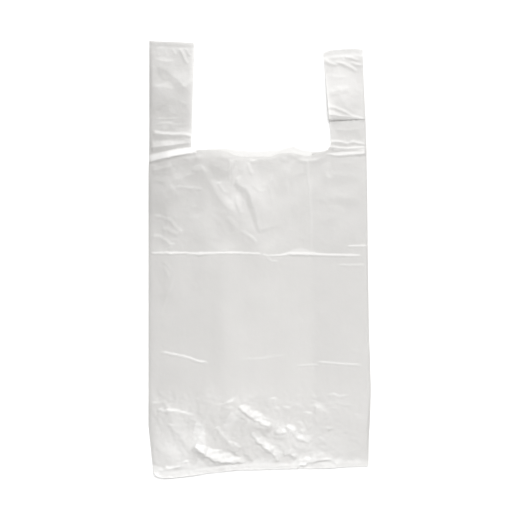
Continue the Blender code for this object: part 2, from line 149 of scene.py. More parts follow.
mouthCreases = [
    (((-151.8, 137.0), (-134, 141.0), (-115, 145.0), (-101, 147.4), (-87.7, 149.6)),
     (8.6, 9.6, 9.4, 8.6, 6.0), 0.34, 2.0, 0.01),
    (((-96, 163), (-110, 161.4), (-125, 159), (-140, 157.6), (-151, 157)),
     (1.5, 3, 6, 8, 9), 0.25, 5.0, 0.03),
    (((150, 153.6), (130, 153), (112, 153.2), (101, 153.6)), (2.6, 2.0, 2.0, 2.6), 0.30, 3.0, 0.05),
    (((93, 147.6), (98, 146.8), (105, 145.4), (112, 145.0), (131, 146.4), (149.5, 147.6)),
     (1.0, 1.8, 3.6, 5.0, 5.8, 7.4), 0.31, 1.4, 0.02),
    (((-84, 132), (-77, 124), (-71, 111), (-64, 101), (-57, 88), (-49, 76), (-38, 69), (-28.5, 62.5)),
     (5, 8, 9, 10, 11, 11, 8, 4), 0.07, 7.0, 0.15),
    (((-29, 61), (-27, 68), (-31, 78), (-33, 92)), (2.4, 3.4, 3.4, 2.4), 0.14, 5.0, 0.2),
    (((-47, 62), (-36, 50), (-28, 41)), (4, 6, 4), 0.10, 6.0, 0.25),
    (((-26, 40.6), (-18, 35.6), (-10, 30), (-3, 24)), (2.6, 3.4, 3.2, 2.2), 0.17, 3.0, 0.12),
    (((-44, 90), (-50, 96), (-59, 109)), (2.4, 3.0, 2.4), 0.17, 3.0, 0.2),
    (((-42, 108), (-41, 122), (-40, 141)), (3.0, 4.0, 3.0), 0.14, 2.0, 0.12),
    (((-36.4, 142), (-37.6, 126), (-36, 112), (-38, 100)), (2.4, 3.0, 3.0, 2.0), 0.14, 2.4, 0.12),
    (((-31, 108), (-33, 118), (-33.4, 131)), (3.6, 2.6, 1.8), 0.17, 2.4, 0.15),
    (((3, 36), (-1.6, 50), (-4.4, 64), (-9, 78), (-12.6, 89), (-18, 98.6), (-28, 104.6), (-36, 109.6)),
     (4, 6, 7, 8.2, 9.0, 9.4, 8, 4), 0.27, 22.0, 0.06),
    (((-24, 96), (-21, 84), (-20, 72)), 3.0, 0.10, 3.0, 0.25),
    (((-39, 119), (-48, 125), (-60, 130), (-70, 137)), (9, 12, 9, 4), 0.07, 22.0, 0.15),
    (((-15.6, 137), (-14, 128), (-11, 118)), 2.6, 0.17, 3.0, 0.2),
    (((65, 143), (66.2, 134), (66, 127), (67.4, 114), (70, 101), (72, 60), (72, 10)),
     (2.8, 3.2, 3.0, 2.4, 1.8, 1.4, 1.2), 0.15, 2.4, 0.06),
    (((-148, 62.6), (-137, 60), (-129, 56.6), (-122, 53.4), (-116, 45), (-105, 36.6)),
     (2.2, 3.0, 3.4, 3.6, 3.4, 2.4), 0.16, 3.4, 0.10),
    (((-112, 41), (-116, 36), (-128, 42), (-140, 44.6)), (3, 5, 5, 3), 0.13, 4.0, 0.2),
    (((-151, 33), (-138, 31.6), (-129, 26.4), (-122, 19)), (3.4, 4.4, 4.4, 3.0), 0.14, 4.0, 0.12),
    (((-128, 13), (-124, 17), (-118, 25)), 3.0, 0.14, 3.0, 0.25),
    (((-134, -6), (-129, -16), (-124, -26)), 3.0, 0.13, 2.6, 0.25),
    (((-121, -18), (-127, -8), (-135, -1)), 3.0, 0.10, 3.0, 0.25),
    (((-119, 101.8), (-105, 100.6), (-88, 99.2), (-76, 98.4)), 2.4, 0.13, 2.4, 0.15),
    (((-107, 116), (-98, 118), (-88, 121)), 2.4, 0.10, 3.0, 0.3),
    (((-96, 126), (-86, 124), (-74, 128)), (7, 9, 6), 0.07, 6.0, 0.25),
    (((-150, 121.6), (-134, 120.6), (-118, 120)), 2.8, 0.06, 2.4, 0.25),
    (((-150, 129.6), (-138, 129), (-124, 130)), 2.4, 0.05, 2.0, 0.2),
    (((-120, 132), (-134, 127), (-151, 124)), (3, 6, 9), 0.09, 5.0, 0.15),
    (((-117, -20), (-128, -48), (-139, -82)), 3.0, 0.07, 3.0, 0.25),
    (((80, 116), (104, 119), (150, 113)), 6.0, 0.03, 8.0, 0.3),
    (((150, 79), (128, 84), (92, 87), (64, 80)), 9.0, 0.04, 12.0, 0.3),
    (((98, 140), (92, 122), (97, 100)), 5.0, 0.07, 6.0, 0.3),
    (((20, 128), (14, 100), (22, 66)), 6.0, 0.06, 7.0, 0.3),
    (((42, 136), (36, 112), (40, 90)), 5.0, 0.06, 6.0, 0.3),
]

# The long white crescent near the bottom
crescentCreases = [
    (((-95, -259), (-88, -262), (-80, -267.4), (-71, -274.6), (-62, -279), (-54, -281), (-40, -281.4),
      (-28, -281.4), (-18, -282)),
     (4, 7, 11, 14, 16, 16, 13, 8, 3), 0.25, 1.3, 0.06, 0.62),
]

handleCreases = [
    (((-111, 295), (-106, 284), (-99.8, 272)), (3.6, 4.2, 2.4), 0.32, 2.0, 0.10),
    (((-102.6, 295), (-99, 289), (-95.6, 283)), 2.4, 0.32, 1.8, 0.12),
    (((-121, 294), (-118.6, 290), (-116, 285)), 2.0, 0.28, 1.6, 0.15),
    (((-131, 294), (-130, 288), (-127, 280)), 2.0, 0.11, 1.8, 0.2),
    (((-141, 294), (-141, 288), (-139, 282)), 1.8, 0.10, 1.6, 0.2),
    (((-148, 273), (-130, 263.6), (-113, 250.6), (-94, 231)), (10, 14, 15, 11), -0.076, 14.0, 0.2),
    (((-146, 279), (-130, 276), (-116, 278)), (5, 8, 5), 0.07, 6.0, 0.3),
    (((-152, 188), (-130, 190.5), (-112, 187.5), (-96, 190)), 2.4, 0.09, 2.4, 0.15),
    (((-149, 196.6), (-128, 196), (-106, 198)), 2.2, 0.09, 2.4, 0.25),
    (((-94, 171.6), (-103, 174.6), (-120, 174.6), (-133, 175.2), (-148, 177.4)),
     (7, 9, 10, 11, 12), 0.22, 2.0, 0.04),
    (((-112, 167), (-106, 169.6), (-100, 166.4), (-94, 167.6)), 2.0, 0.14, 1.6, 0.2),
    (((103, 276.4), (113, 274), (124, 269.6), (137, 262.6)), (2.6, 4.2, 4.2, 2.6), 0.35, 2.6, 0.12),
    (((90, 280), (97, 274.4), (111, 270.8)), (2.6, 3.8, 2.6), 0.34, 3.0, 0.15),
    (((119, 283.4), (128, 281.4), (139, 278.4)), (2.4, 3.6, 2.4), 0.34, 2.6, 0.15),
    (((126, 275.4), (134, 272.6), (144, 270.4)), (2.4, 3.6, 2.4), 0.34, 3.0, 0.15),
    (((113, 284.6), (116, 280.4), (117, 276)), 1.8, 0.14, 1.6, 0.2),
    (((128, 285), (131, 281), (136, 276)), 1.8, 0.13, 1.6, 0.2),
    (((92, 258), (108, 254), (126, 256)), 3.0, 0.10, 3.0, 0.3),
    (((93, 233), (108, 236), (128, 240.6)), 5.5, 0.12, 6.0, 0.25),
    (((93, 212.2), (104, 211.4), (116, 206.6), (130, 199.8), (148.5, 195.4)),
     (3.2, 3.8, 4.2, 3.6, 2.4), 0.30, 2.6, 0.04),
    (((92, 202), (106, 200.6), (122, 199), (136, 197.4)), (8.0, 7.0, 5.0, 2.6), 0.22, 2.0, 0.05),
    (((96, 183), (120, 180.5), (148, 183)), 3.0, 0.10, 3.0, 0.3),
    (((96, 163.4), (106, 164.4), (116, 163), (124, 160.6)), (3.0, 3.8, 3.4, 2.4), 0.32, 2.0, 0.08),
    (((120, 160.8), (129, 164.0), (138, 162.4), (149, 160.2)), (2.4, 3.6, 3.4, 2.4), 0.30, 1.8, 0.08),
    (((95, 157.6), (104, 156.4), (115, 154.8), (132, 155.4), (149, 156.8)),
     (3.0, 4.0, 3.4, 3.0, 2.4), 0.32, 1.8, 0.04),
]

bottomCreases = [
    # the fan over the left end of the long white crescent
    (((-97, -259), (-90, -262), (-81, -267), (-72, -273)), (14, 32, 30, 14), 0.10, 5.5, 0.3),
    (((-94, -247), (-84, -249), (-75, -254)), (9, 17, 10), 0.13, 9.0, 0.2),
    (((-88, -232), (-82, -230), (-76, -235)), (4, 5, 4), 0.15, 2.4, 0.25),
    (((-90, -236), (-94, -247), (-97, -258)), (3, 5, 3), 0.14, 5.0, 0.2),
    (((-96, -256.4), (-91, -255), (-85, -253.4)), (3, 4, 3), 0.14, 1.6, 0.15),
    (((-128, -226), (-117, -236), (-106, -250), (-97, -264)), (9, 13, 12, 6), -0.15, 10.0, 0.2),
    # left of it
    (((-144, -210.4), (-128, -209.4), (-112, -210.4), (-106, -212.6), (-97, -215.6), (-89, -214)),
     (4.0, 4.4, 4.0, 3.4, 3.8, 2.4), 0.30, 10.0, 0.06),
    (((-132, -226), (-116, -231), (-100, -230)), (14, 20, 12), 0.10, 12.0, 0.25),
    (((-146, -262), (-128, -270), (-106, -281)), (12, 16, 9), 0.06, 10.0, 0.25),
    # between the crescent and the first ridge
    (((-62, -228), (-64, -212), (-66, -194)), (6, 9, 6), -0.05, 16.0, 0.25),
    (((-50, -205), (-43, -205.6), (-34, -205.8)), 4.4, 0.17, 2.4, 0.2),
    (((-50, -229), (-44, -220), (-37, -211)), (3, 4, 3), -0.16, 5.0, 0.2),
    (((-61, -231), (-55, -238.6), (-48, -247), (-42, -254), (-35, -258.4), (-24, -260)),
     (4.0, 5.4, 6.0, 6.0, 5.4, 4.0), 0.36, 9.0, 0.06),
    (((-52, -262), (-44, -263), (-35, -266), (-27, -265)), (5, 8, 8, 4), 0.13, 4.0, 0.2),
    (((-33, -268), (-26, -274.6), (-18, -280.6)), (4, 6, 4), 0.17, 2.4, 0.12),
    (((-20, -268), (-14, -273), (-7, -280)), (4, 6, 4), 0.17, 2.4, 0.12),
    # the first ridge
    (((-29, -204), (-22, -210.6), (-13, -217.6), (-4, -223.4), (6, -228.4), (17, -232.6)),
     (7, 13, 14, 13, 10, 5), 0.28, 1.5, 0.06, 0.5),
    (((-29, -217), (-22, -219.4), (-13, -223.6)), (4, 6, 4), 0.17, 3.4, 0.15),
    (((-3, -213.6), (4, -217.4), (12, -221.6), (22, -225)), (3, 6, 6, 3), 0.14, 2.0, 0.15),
    # the second ridge
    (((-13, -240), (-6, -248), (0, -254.6), (8, -262), (16, -267.6), (22, -273.4), (28, -281)),
     (6, 10, 13, 14, 12, 9, 5), 0.29, 1.6, 0.06, 0.5),
    (((12, -251.6), (20, -254), (27, -256), (33, -260.4)), (4, 6, 6, 4), 0.14, 2.4, 0.12),
    (((16, -243.6), (22, -246), (32, -248)), (3, 5, 3), 0.15, 2.4, 0.15),
    (((20, -264), (25, -267.4), (31, -270)), (4, 6, 4), 0.15, 2.0, 0.15),
    (((-14, -262), (-7, -266), (0, -275)), (5, 7, 4), 0.10, 4.0, 0.2),
    # the cluster to its right
    (((20, -239), (29, -240.6), (38, -238)), (8, 12, 6), 0.20, 5.0, 0.2),
    (((36, -231), (44, -236), (52, -240)), (6, 10, 6), 0.22, 5.0, 0.2),
    (((44, -238), (51, -246), (59, -250), (67, -252), (71.6, -256)), (4, 8, 9, 8, 4), 0.26, 3.0, 0.1, 0.35),
    (((54, -236), (60, -240), (66, -247)), (5, 8, 4), 0.16, 3.0, 0.2),
    (((42, -257), (54, -260), (66, -258)), (6, 9, 5), 0.09, 5.0, 0.25),
    (((33, -268.4), (42, -269.6), (47, -272), (53, -277)), (4, 7, 7, 4), 0.27, 2.6, 0.1),
    (((60, -268), (68, -262), (72, -252)), (5, 6, 4), 0.12, 5.0, 0.2),
    (((81, -246), (86.6, -250.6), (92, -248.6)), (4, 6, 4), 0.17, 3.0, 0.2),
    (((92, -232.6), (97, -235.4), (102, -233)), (3, 5, 3), 0.17, 2.4, 0.2),
    (((80, -198), (79, -216), (81, -236)), (5, 6, 5), 0.10, 3.0, 0.25),
    (((94, -240), (95.6, -218), (95, -198)), (5, 6, 5), 0.08, 2.4, 0.25),
    (((17, -190.6), (21, -196), (25, -212)), 5.0, 0.10, 3.0, 0.2),
    (((92, -189), (102, -187), (112, -190), (127, -188)), 3.6, 0.16, 2.4, 0.2),
    (((95, -200), (108, -198), (118, -201.6), (130, -200)), 3.6, 0.15, 2.4, 0.2),
    (((98, -262), (118, -268), (146, -262)), (9, 12, 8), 0.05, 9.0, 0.25),
    # over the weld
    (((50, -289), (58, -285), (72, -281.6), (86, -278.6), (97, -278), (112, -286)),
     (5, 12, 15, 14, 9, 4), 0.22, 2.4, 0.08),
    (((50, -282), (57, -279.6), (66, -277.4)), 3.0, -0.13, 3.0, 0.2),
    (((-147, -294.6), (-134, -292.4), (-120, -290), (-108, -285.6), (-97, -279)),
     (3, 5, 6, 6, 4), 0.30, 4.0, 0.08),
    (((-116, -291), (-100, -289.6), (-86, -289), (-70, -288)), (8, 17, 14, 6), 0.08, 4.0, 0.12),
    (((-148, -297.6), (-143, -299.4), (-137, -303)), (2.4, 3.4, 2.4), 0.28, 2.4, 0.08),
    (((-134, -300), (-122, -297), (-110, -296.6)), (3, 5, 4), 0.15, 2.0, 0.15),
    (((-100, -296), (-84, -293), (-66, -291.6)), (4, 6, 5), 0.14, 2.0, 0.15),
    (((-62, -289), (-44, -286.6), (-30, -287.4)), (4, 6, 4), 0.14, 2.0, 0.2),
    (((-24, -292), (-14, -291.4), (-8, -292)), 2.6, 0.21, 1.8, 0.15),
    (((-26, -287), (-8, -284.6), (10, -285.4)), (4, 6, 4), 0.14, 2.0, 0.2),
    (((12, -288), (28, -286.4), (46, -287)), (4, 6, 4), 0.14, 2.0, 0.2),
    (((112, -284), (126, -282.6), (146, -283)), (3, 5, 4), 0.07, 2.0, 0.2),
]

# Soft ridges: points, the spread of each side and the height
softRidges = [
    (((-44, -192), (-49, -100), (-44, 2)), 22.0, 1.1),
    (((-84, 138), (-62, 104), (-42, 72), (-20, 40), (0, 8)), 24.0, 1.3),
    (((-26, 146), (-20, 118), (4, 70)), 16.0, 0.8),
    (((-128, 60), (-116, 36), (-120, 8)), 22.0, 0.9),
    (((-122, -40), (-120, 40), (-121, 100), (-126, 150)), 24.0, 1.7),
    (((66, 146), (70, 100), (72, 30)), 18.0, 0.5),
    (((-40, -214), (0, -230), (60, -246)), 22.0, 1.7),
    (((-20, -262), (20, -262), (60, -268)), 16.0, 1.2),
    (((-130, 285), (-118, 240), (-126, 190)), 20.0, 0.7),
    (((118, 250), (112, 230), (122, 214)), 16.0, 0.9),
]

# Where the plies' edges lie at the mouth, against the straight cut of the die: across the bag and along it
rearMouth = ((-95, 0.0), (-86, 0.5), (-60, 2.3), (-44, 3.0), (-34, 1.2), (-27, -0.6), (-2, -2.3), (15, -1.2),
             (31, 1.5), (38, 4.0), (43, 6.3), (51, 6.3), (56, 2.6), (62, -1.0), (75, -2.3), (85, -2.0),
             (96, 0.0))
frontMouth = ((-95, 0.0), (-86, -1.0), (-70, 0.4), (-55, -0.6), (-44, -3.0), (-36, -8.0), (-27, -11.0),
              (0, -11.2), (17, -10.8), (25, -6.2), (34, -4.8), (42, -4.2), (50, -6.0), (55, -7.4), (62, -9.6),
              (70, -9.8), (80, -7.0), (88, -4.0), (96, -2.0))

# How far the other edges waver from their lines, in the same way
bottomEdge = ((-152, 9.0), (-148.5, 7.5), (-144, 4.0), (-139, 1.2), (-133, 0.0), (-119, -0.6), (-94, 0.2),
              (-69, 1.8), (-44, 2.8), (-27, 3.2), (-8, 1.9), (15, 1.0), (40, 0.7), (73, -0.6), (98, -1.0),
              (123, 0.3), (152, 0.2))
leftTop = ((-155, 0.4), (-144, -0.6), (-120, -1.4), (-94, -3.0), (-90, -3.4))
rightTop = ((84, -3.6), (88, -2.4), (91, 0.4), (95, 1.4), (104, 1.8), (132, 1.7), (139, 0.2), (141, -1.0),
            (143, 0.4), (146, 0.0))
rightEdge = ((-305, -0.5), (-279, -0.8), (-251, -1.4), (-215, -0.4), (-181, 1.0), (-140, 0.3), (-98, -0.5),
             (-40, -0.3), (28, 0.2), (90, 0.9), (153, 1.4), (200, 1.0), (273, 0.2), (305, 0.2))
handleFlare = ((153, 0.6), (165, 3.2), (290, 0.4))


def spacedOut(start, end, cell):
    count = max(1, round(abs(end - start) / cell))
    return [start + (end - start) * i / count for i in range(count + 1)]


def easedShare(value, low, high):
    share = np.clip((value - low) / (high - low), 0, 1)
    return share * share * (3 - 2 * share)


def bell(value, spread):
    return np.exp(-((value / spread) ** 2))


def fromTable(table, place):
    stations, values = zip(*table)
    return np.interp(place, stations, values)


# The flat tube: its profile is (across the bag, ply), with ply 0 the rear and 3 the front
def tubeProfile():
    half = bagCut["width"] / 2
    inner = half - bagCut["gusset"]
    steps = bagMesh["foldSteps"]
    gussetCell = bagCut["gusset"] / bagMesh["gussetCells"]
    bulge = bagMesh["foldBulge"]

    def turnOver(x, fromPly, side):
        turns = [math.pi * i / steps for i in range(1, steps)]
        return [(x + side * bulge * math.sin(t), fromPly - 0.5 + 0.5 * math.cos(t)) for t in turns]

    right = [(x, 3) for x in spacedOut(0, half, bagMesh["frontCell"])]
    right += turnOver(half, 3, 1)
    right += [(x, 2) for x in spacedOut(half, inner, gussetCell)]
    right += turnOver(inner, 2, -1)
    right += [(x, 1) for x in spacedOut(inner, half, gussetCell)]
    right += turnOver(half, 1, 1)
    right += [(x, 0) for x in spacedOut(half, 0, bagMesh["rearCell"])]
    return right + [(-x, ply) for x, ply in reversed(right[1:-1])]


def flatTube():
    profile = np.array(tubeProfile())
    rows = [0.0]
    for low, high, cell in bagMesh["rows"]:
        rows += spacedOut(low, high, cell)[1:]
    count = len(profile)
    verts = [(x, y, ply) for y in rows for x, ply in profile]
    faces = []
    for r in range(len(rows) - 1):
        for c in range(count):
            d = (c + 1) % count
            faces.append((r * count + c, r * count + d, (r + 1) * count + d, (r + 1) * count + c))
    data = bpy.data.meshes.new("bagFilm")
    data.from_pydata(verts, [], faces)
    return data


# The die's outline: down the left handle, round the corner, along the mouth and up the right handle
def mouthOutline():
    half = bagCut["width"] / 2
    level, corner = bagCut["mouthLevel"], bagCut["mouthCorner"]
    left = bagCut["mouthOffset"] - half + bagCut["handleBase"]
    right = bagCut["mouthOffset"] + half - bagCut["handleBase"]
    flare = (bagCut["handleTop"] - bagCut["handleBase"]) / (bagCut["length"] - level)
    above = bagCut["length"] + 20  # clear of the handles' tops
    points = [(left + flare * (above - level), above)]
    for i in range(5):
        turn = math.pi / 8 * i
        points.append((left + corner * (1 - math.cos(turn)), level + corner * (1 - math.sin(turn))))
    for i in range(5):
        turn = math.pi / 8 * i
        points.append((right - corner * (1 - math.sin(turn)), level + corner * (1 - math.cos(turn))))
    points.append((right - flare * (above - level), above))
    return points


def cutMouth(mesh):
    outline = mouthOutline()
    reach = bagMesh["cutReach"]
    for (x0, y0), (x1, y1) in zip(outline[:-1], outline[1:]):
        lowX, highX = min(x0, x1) - reach, max(x0, x1) + reach
        lowY, highY = min(y0, y1) - reach, max(y0, y1) + reach
        faces = []
        for face in mesh.faces:
            places = [vert.co for vert in face.verts]
            if (min(p.x for p in places) < highX and max(p.x for p in places) > lowX
                    and min(p.y for p in places) < highY and max(p.y for p in places) > lowY):
                faces.append(face)
        edges = {edge for face in faces for edge in face.edges}
        verts = {vert for face in faces for vert in face.verts}
        bmesh.ops.bisect_plane(mesh, geom=faces + list(edges) + list(verts), dist=bagMesh["cutSliver"],
                               plane_co=(x0, y0, 0), plane_no=(y1 - y0, x0 - x1, 0))
    inside = []
    for face in mesh.faces:
        middle = face.calc_center_median()
        kept = any((x1 - x0) * (middle.y - y0) - (y1 - y0) * (middle.x - x0) < 0
                   for (x0, y0), (x1, y1) in zip(outline[:-1], outline[1:]))
        if not kept:
            inside.append(face)
    bmesh.ops.delete(mesh, geom=inside, context="FACES")


# How a crease is shaped: lengths in millimetres, the rest as shares
creaseShape = {
    "easedReach": 2.8,  # how many widths an eased facet reaches
    "gentleRun": 26.0,
    "dip": 0.6,  # the hollow past a wide facet
    "growth": 1.1,  # how much steeper for each metre nearer the bottom
    "crestLine": 0.9,  # the whitened line along the crest, partly a painted highlight
    "facetHighlight": 2.0,  # and a painted highlight over a facet with a gentle side
}


# The lift that one crease gives: its facet is flat when "curve" is 1, and eases out when it is more
def creaseLift(x, y, crease, curve):
    points, widths, tilt, back, fade, *more = crease
    gentle = more[0] if more else 0.0
    points = np.array(points, float)
    widths = np.full(len(points), float(widths)) if np.isscalar(widths) else np.array(widths, float)
    facetReach = widths.max() * (1 if curve == 1 else creaseShape["easedReach"])
    reach = facetReach + max(2 * back, creaseShape["gentleRun"] * (gentle > 0))
    low, high = points.min(axis=0) - reach, points.max(axis=0) + reach
    near = np.nonzero((x > low[0]) & (x < high[0]) & (y > low[1]) & (y < high[1]))[0]
    px, py = x[near], y[near]

    # the nearest point of the crest, on which side of it, how far along it and how wide the facet is there
    closest = np.full(len(near), np.inf)
    signed = np.zeros(len(near))
    place = np.zeros(len(near))
    width = np.zeros(len(near))
    passed = 0.0
    for i in range(len(points) - 1):
        start, along = points[i], points[i + 1] - points[i]
        length = np.hypot(*along)
        share = np.clip(((px - start[0]) * along[0] + (py - start[1]) * along[1]) / length**2, 0, 1)
        dx, dy = px - start[0] - share * along[0], py - start[1] - share * along[1]
        away = np.hypot(dx, dy)
        better = away < closest
        side = np.sign(along[0] * dy - along[1] * dx)
        closest = np.where(better, away, closest)
        signed = np.where(better, side * away, signed)
        place = np.where(better, passed + share * length, place)
        width = np.where(better, widths[i] + share * (widths[i + 1] - widths[i]), width)
        passed += length

    ends = easedShare(np.minimum(place, passed - place), 0, max(fade * passed, 1e-6))
    width = np.maximum(width * (0.3 + 0.7 * ends), 0.8)
    steeper = 1 - creaseShape["growth"] * py / 1000 if abs(tilt) > 0.15 else 1.0
    height = abs(tilt) * steeper * width * ends / curve
    if tilt < 0:
        signed = -signed
    facet = np.clip(1 - signed / width, 0, 1) ** curve
    shortSide = np.clip(1 + signed / (2 * back), 0, 1) ** 2
    gentleSide = np.clip(1 + signed / creaseShape["gentleRun"], 0, 1) ** 2
    other = (1 - gentle) * shortSide + gentle * gentleSide
    dip = creaseShape["dip"] * (curve - 1) * bell(signed - width, width) * easedShare(width, 5, 13)
    lift = np.zeros(len(x))
    lift[near] = height * (np.where(signed >= 0, facet, other) - dip)
    # the crest's whitening, partly a painted highlight, and a painted highlight over a facet with a gentle
    # side
    whiteningAndHighlight = np.zeros(len(x))
    whiteningAndHighlight[near] = bell(signed, creaseShape["crestLine"]) * ends * min(1.0, abs(tilt) / 0.25)
    whiteningAndHighlight[near] += creaseShape["facetHighlight"] * gentle * easedShare(facet, 0.02, 0.3) * ends * (signed > 0)
    return lift, whiteningAndHighlight


def softLift(x, y, ridge):
    points, spread, height = ridge
    nearest = np.full(len(x), np.inf)
    for (x0, y0), (x1, y1) in zip(points[:-1], points[1:]):
        length2 = (x1 - x0) ** 2 + (y1 - y0) ** 2
        share = np.clip(((x - x0) * (x1 - x0) + (y - y0) * (y1 - y0)) / length2, 0, 1)
        nearest = np.minimum(nearest, np.hypot(x - x0 - share * (x1 - x0), y - y0 - share * (y1 - y0)))
    return height * np.exp(-((nearest / spread) ** 2) * 1.6)


# How crumpled the film is, from 0 to 1: everywhere, and how much more in each zone
crumpleShares = {
    "everywhere": 0.14,
    "bottom": 0.50,
    "upper": 0.20,
    "leftSide": 0.14,
    "handles": 0.20,
}


def crumpled(x, y):
    bottom = 1 - easedShare(y, -215, -165)
    bottomRight = 0.5 * easedShare(x, 80, 130)
    bottomLeft = 0.6 * (1 - easedShare(x, -125, -95)) * (1 - easedShare(y, -235, -205))
    lowest = 1 - easedShare(y, -292, -278)
    upper = easedShare(y, 0, 40) * (1 - easedShare(y, 140, 150)) * (1 - 0.75 * easedShare(x, -15, 25))
    leftSide = 1 - easedShare(x, -135, -85)
    handles = easedShare(y, 150, 165)
    amount = crumpleShares["everywhere"]
    amount = amount + crumpleShares["bottom"] * bottom * (1 - bottomRight) * (1 - bottomLeft)
    amount = amount + crumpleShares["upper"] * upper + crumpleShares["leftSide"] * leftSide
    amount = amount + crumpleShares["handles"] * handles
    return np.clip(amount * (1 - 0.4 * lowest), 0, 1)


# The stray creases between the placed ones: how many are drawn, and from and to for each value
strayCreases = {
    "draws": 620,
    "seed": 12,
    "kept": 0.25,  # the share that stays where the film is smooth
    "across": (-152, 152),
    "along": (-296, 303),
    "heading": (-0.35, 0.75),  # middle and spread, in radians
    "length": (5, 22),
    "bend": 0.25,
    "width": (1.6, 4.8),
    "tilt": (0.03, 0.16),
    "upward": 0.6,  # the share whose facet lies on the left
    "back": (1.5, 4.0),
    "fade": 0.35,
}


def smallCreases():
    stray = strayCreases
    dice = np.random.default_rng(stray["seed"])
    made = []
    for _ in range(stray["draws"]):
        x, y = dice.uniform(*stray["across"]), dice.uniform(*stray["along"])
        inMouth = y > 150 and -94 < x < 92
        inLeftCorner = y < -195 and x < -80
        if inMouth or inLeftCorner:
            continue
        weight = float(crumpled(np.array([x]), np.array([y]))[0])
        if dice.random() > stray["kept"] + weight:
            continue
        turn = dice.normal(*stray["heading"])
        length = dice.uniform(*stray["length"]) * (0.6 + weight)
        bend = dice.normal(0, stray["bend"])
        dx, dy = math.cos(turn) * length / 2, math.sin(turn) * length / 2
        middle = (x - dy * bend, y + dx * bend)
        width = dice.uniform(*stray["width"])
        tilt = dice.uniform(*stray["tilt"]) * (0.25 + weight) * (1 if dice.random() < stray["upward"] else -1)
        back = dice.uniform(*stray["back"])
        onLeftHandle = x < -88 and y > 165
        if not onLeftHandle:
            made.append((((x - dx, y - dy), middle, (x + dx, y + dy)), width, tilt, back, stray["fade"]))
    return made


# Flat facets between scattered points, as film takes when it is pressed after crumpling
def faceted(x, y, spacing, seed):
    dice = np.random.default_rng(seed)
    stray = 0.38
    places = []
    for row, v in enumerate(np.arange(-330, 330 + spacing, spacing * 0.87)):
        for u in np.arange(-180, 180 + spacing, spacing):
            places.append((u + (row % 2) * spacing / 2 + dice.uniform(-stray, stray) * spacing,
                           v + dice.uniform(-stray, stray) * spacing))
    heights = dice.uniform(-1, 1, len(places))
    verts, _, faces, origin, _, _ = delaunay_2d_cdt(places, [], [], 0, 1e-5)
    tree = BVHTree.FromPolygons([(v.x, v.y, heights[origin[i][0]]) for i, v in enumerate(verts)], faces)
    hits = [tree.ray_cast((u, v, 9), (0, 0, -1))[0] for u, v in zip(x.tolist(), y.tolist())]
    return np.array([hit.z if hit else 0.0 for hit in hits])


# A sum of waves with lengths between low and high
def rolling(x, y, low, high, count, seed):
    dice = np.random.default_rng(seed)
    total = np.zeros(len(x))
    for _ in range(count):
        turn, phase = dice.uniform(0, math.pi), dice.uniform(0, 2 * math.pi)
        wave = 2 * math.pi / dice.uniform(low, high)
        total += np.sin(wave * (x * math.cos(turn) + y * math.sin(turn)) + phase)
    return total / math.sqrt(count)


# The front ply's relief, in millimetres: each amount, and the spacing or the wavelengths that go with it
filmRelief = {
    "wander": 0.2,  # how far the crests stray from their lines
    "bottomWander": 0.65,
    "wanderWaves": (6, 16, 10),
    # how much the stray creases take of the crest whitening and painted highlight
    "strayWhiteningAndHighlight": 0.4,
    "fineFacets": 0.14,
    "bottomFineFacets": 0.34,
    "fineSpacing": 4.6,
    "rolling": 0.7,
    "rollingWaves": (38, 90, 14),
    "bend": 3.0,  # how far the facets' lines are bent
    "bendWaves": (30, 60, 8),
    "broadFacets": 1.7,
    "broadSpacing": 24.0,
    "middleFacets": 0.75,
    "middleSpacing": 11.0,
}


def frontRelief(x, y):
    lift = np.zeros(len(x))
    whiteningAndHighlight = np.zeros(len(x))
    wander = filmRelief["wander"] + filmRelief["bottomWander"] * (1 - easedShare(y, -210, -170))
    nearX = x + wander * rolling(x, y, *filmRelief["wanderWaves"], 31)
    nearY = y + wander * rolling(x, y, *filmRelief["wanderWaves"], 32)
    flatOnes = packetCreases + mouthCreases + crescentCreases
    easedOnes = handleCreases + bottomCreases
    for curve, creases in ((1.0, flatOnes), (1.5, easedOnes)):
        for crease in creases:
            more, white = creaseLift(nearX, nearY, crease, curve)
            lift += more
            whiteningAndHighlight = np.maximum(whiteningAndHighlight, white)
    for crease in smallCreases():
        more, white = creaseLift(x, y, crease, 1.5)
        lift += more
        whiteningAndHighlight = np.maximum(whiteningAndHighlight, filmRelief["strayWhiteningAndHighlight"] * white)
    rough = crumpled(x, y)
    fineDepth = filmRelief["fineFacets"] + filmRelief["bottomFineFacets"] * (1 - easedShare(y, -200, -160))
    lift += fineDepth * rough * (1 + faceted(x, y, filmRelief["fineSpacing"], 13))
    broad = filmRelief["rolling"] * (0.3 + rough) * (1.2 + rolling(x, y, *filmRelief["rollingWaves"], 3))
    for ridge in softRidges:
        broad += softLift(x, y, ridge)
    bentX = x + filmRelief["bend"] * rolling(x, y, *filmRelief["bendWaves"], 21)
    bentY = y + filmRelief["bend"] * rolling(x, y, *filmRelief["bendWaves"], 22)
    broadFacets = 1 + faceted(bentX, bentY, filmRelief["broadSpacing"], 11)
    middleFacets = 1 + faceted(bentX, bentY, filmRelief["middleSpacing"], 12)
    broad += filmRelief["broadFacets"] * (0.05 + rough) ** 1.5 * broadFacets
    broad += filmRelief["middleFacets"] * rough ** 1.5 * middleFacets
    return lift, broad, whiteningAndHighlight


# Where the right handle's stack of plies runs through its pleat: place along the bag, height and heading
def pleatPath(s, radius):
    start = bagCut["mouthLevel"] + bagLie["pleatLip"] + bagLie["pleatOverlap"] + radius
    arc = math.pi * radius
    second = start + arc + bagLie["pleatOverlap"]
    firstTurn = np.clip((s - start) / radius, 0, math.pi)
    secondTurn = np.clip((s - second) / radius, 0, math.pi)
    back = np.clip(s - start - arc, 0, bagLie["pleatOverlap"])
    onward = np.clip(s - second - arc, 0, None)
    place = np.minimum(s, start) + radius * (np.sin(firstTurn) - np.sin(secondTurn)) - back + onward
    height = radius * (2 - np.cos(firstTurn) - np.cos(secondTurn))
    height *= 1 - easedShare(onward, 0, bagLie["pleatFall"])
    return place, height, firstTurn - secondTurn


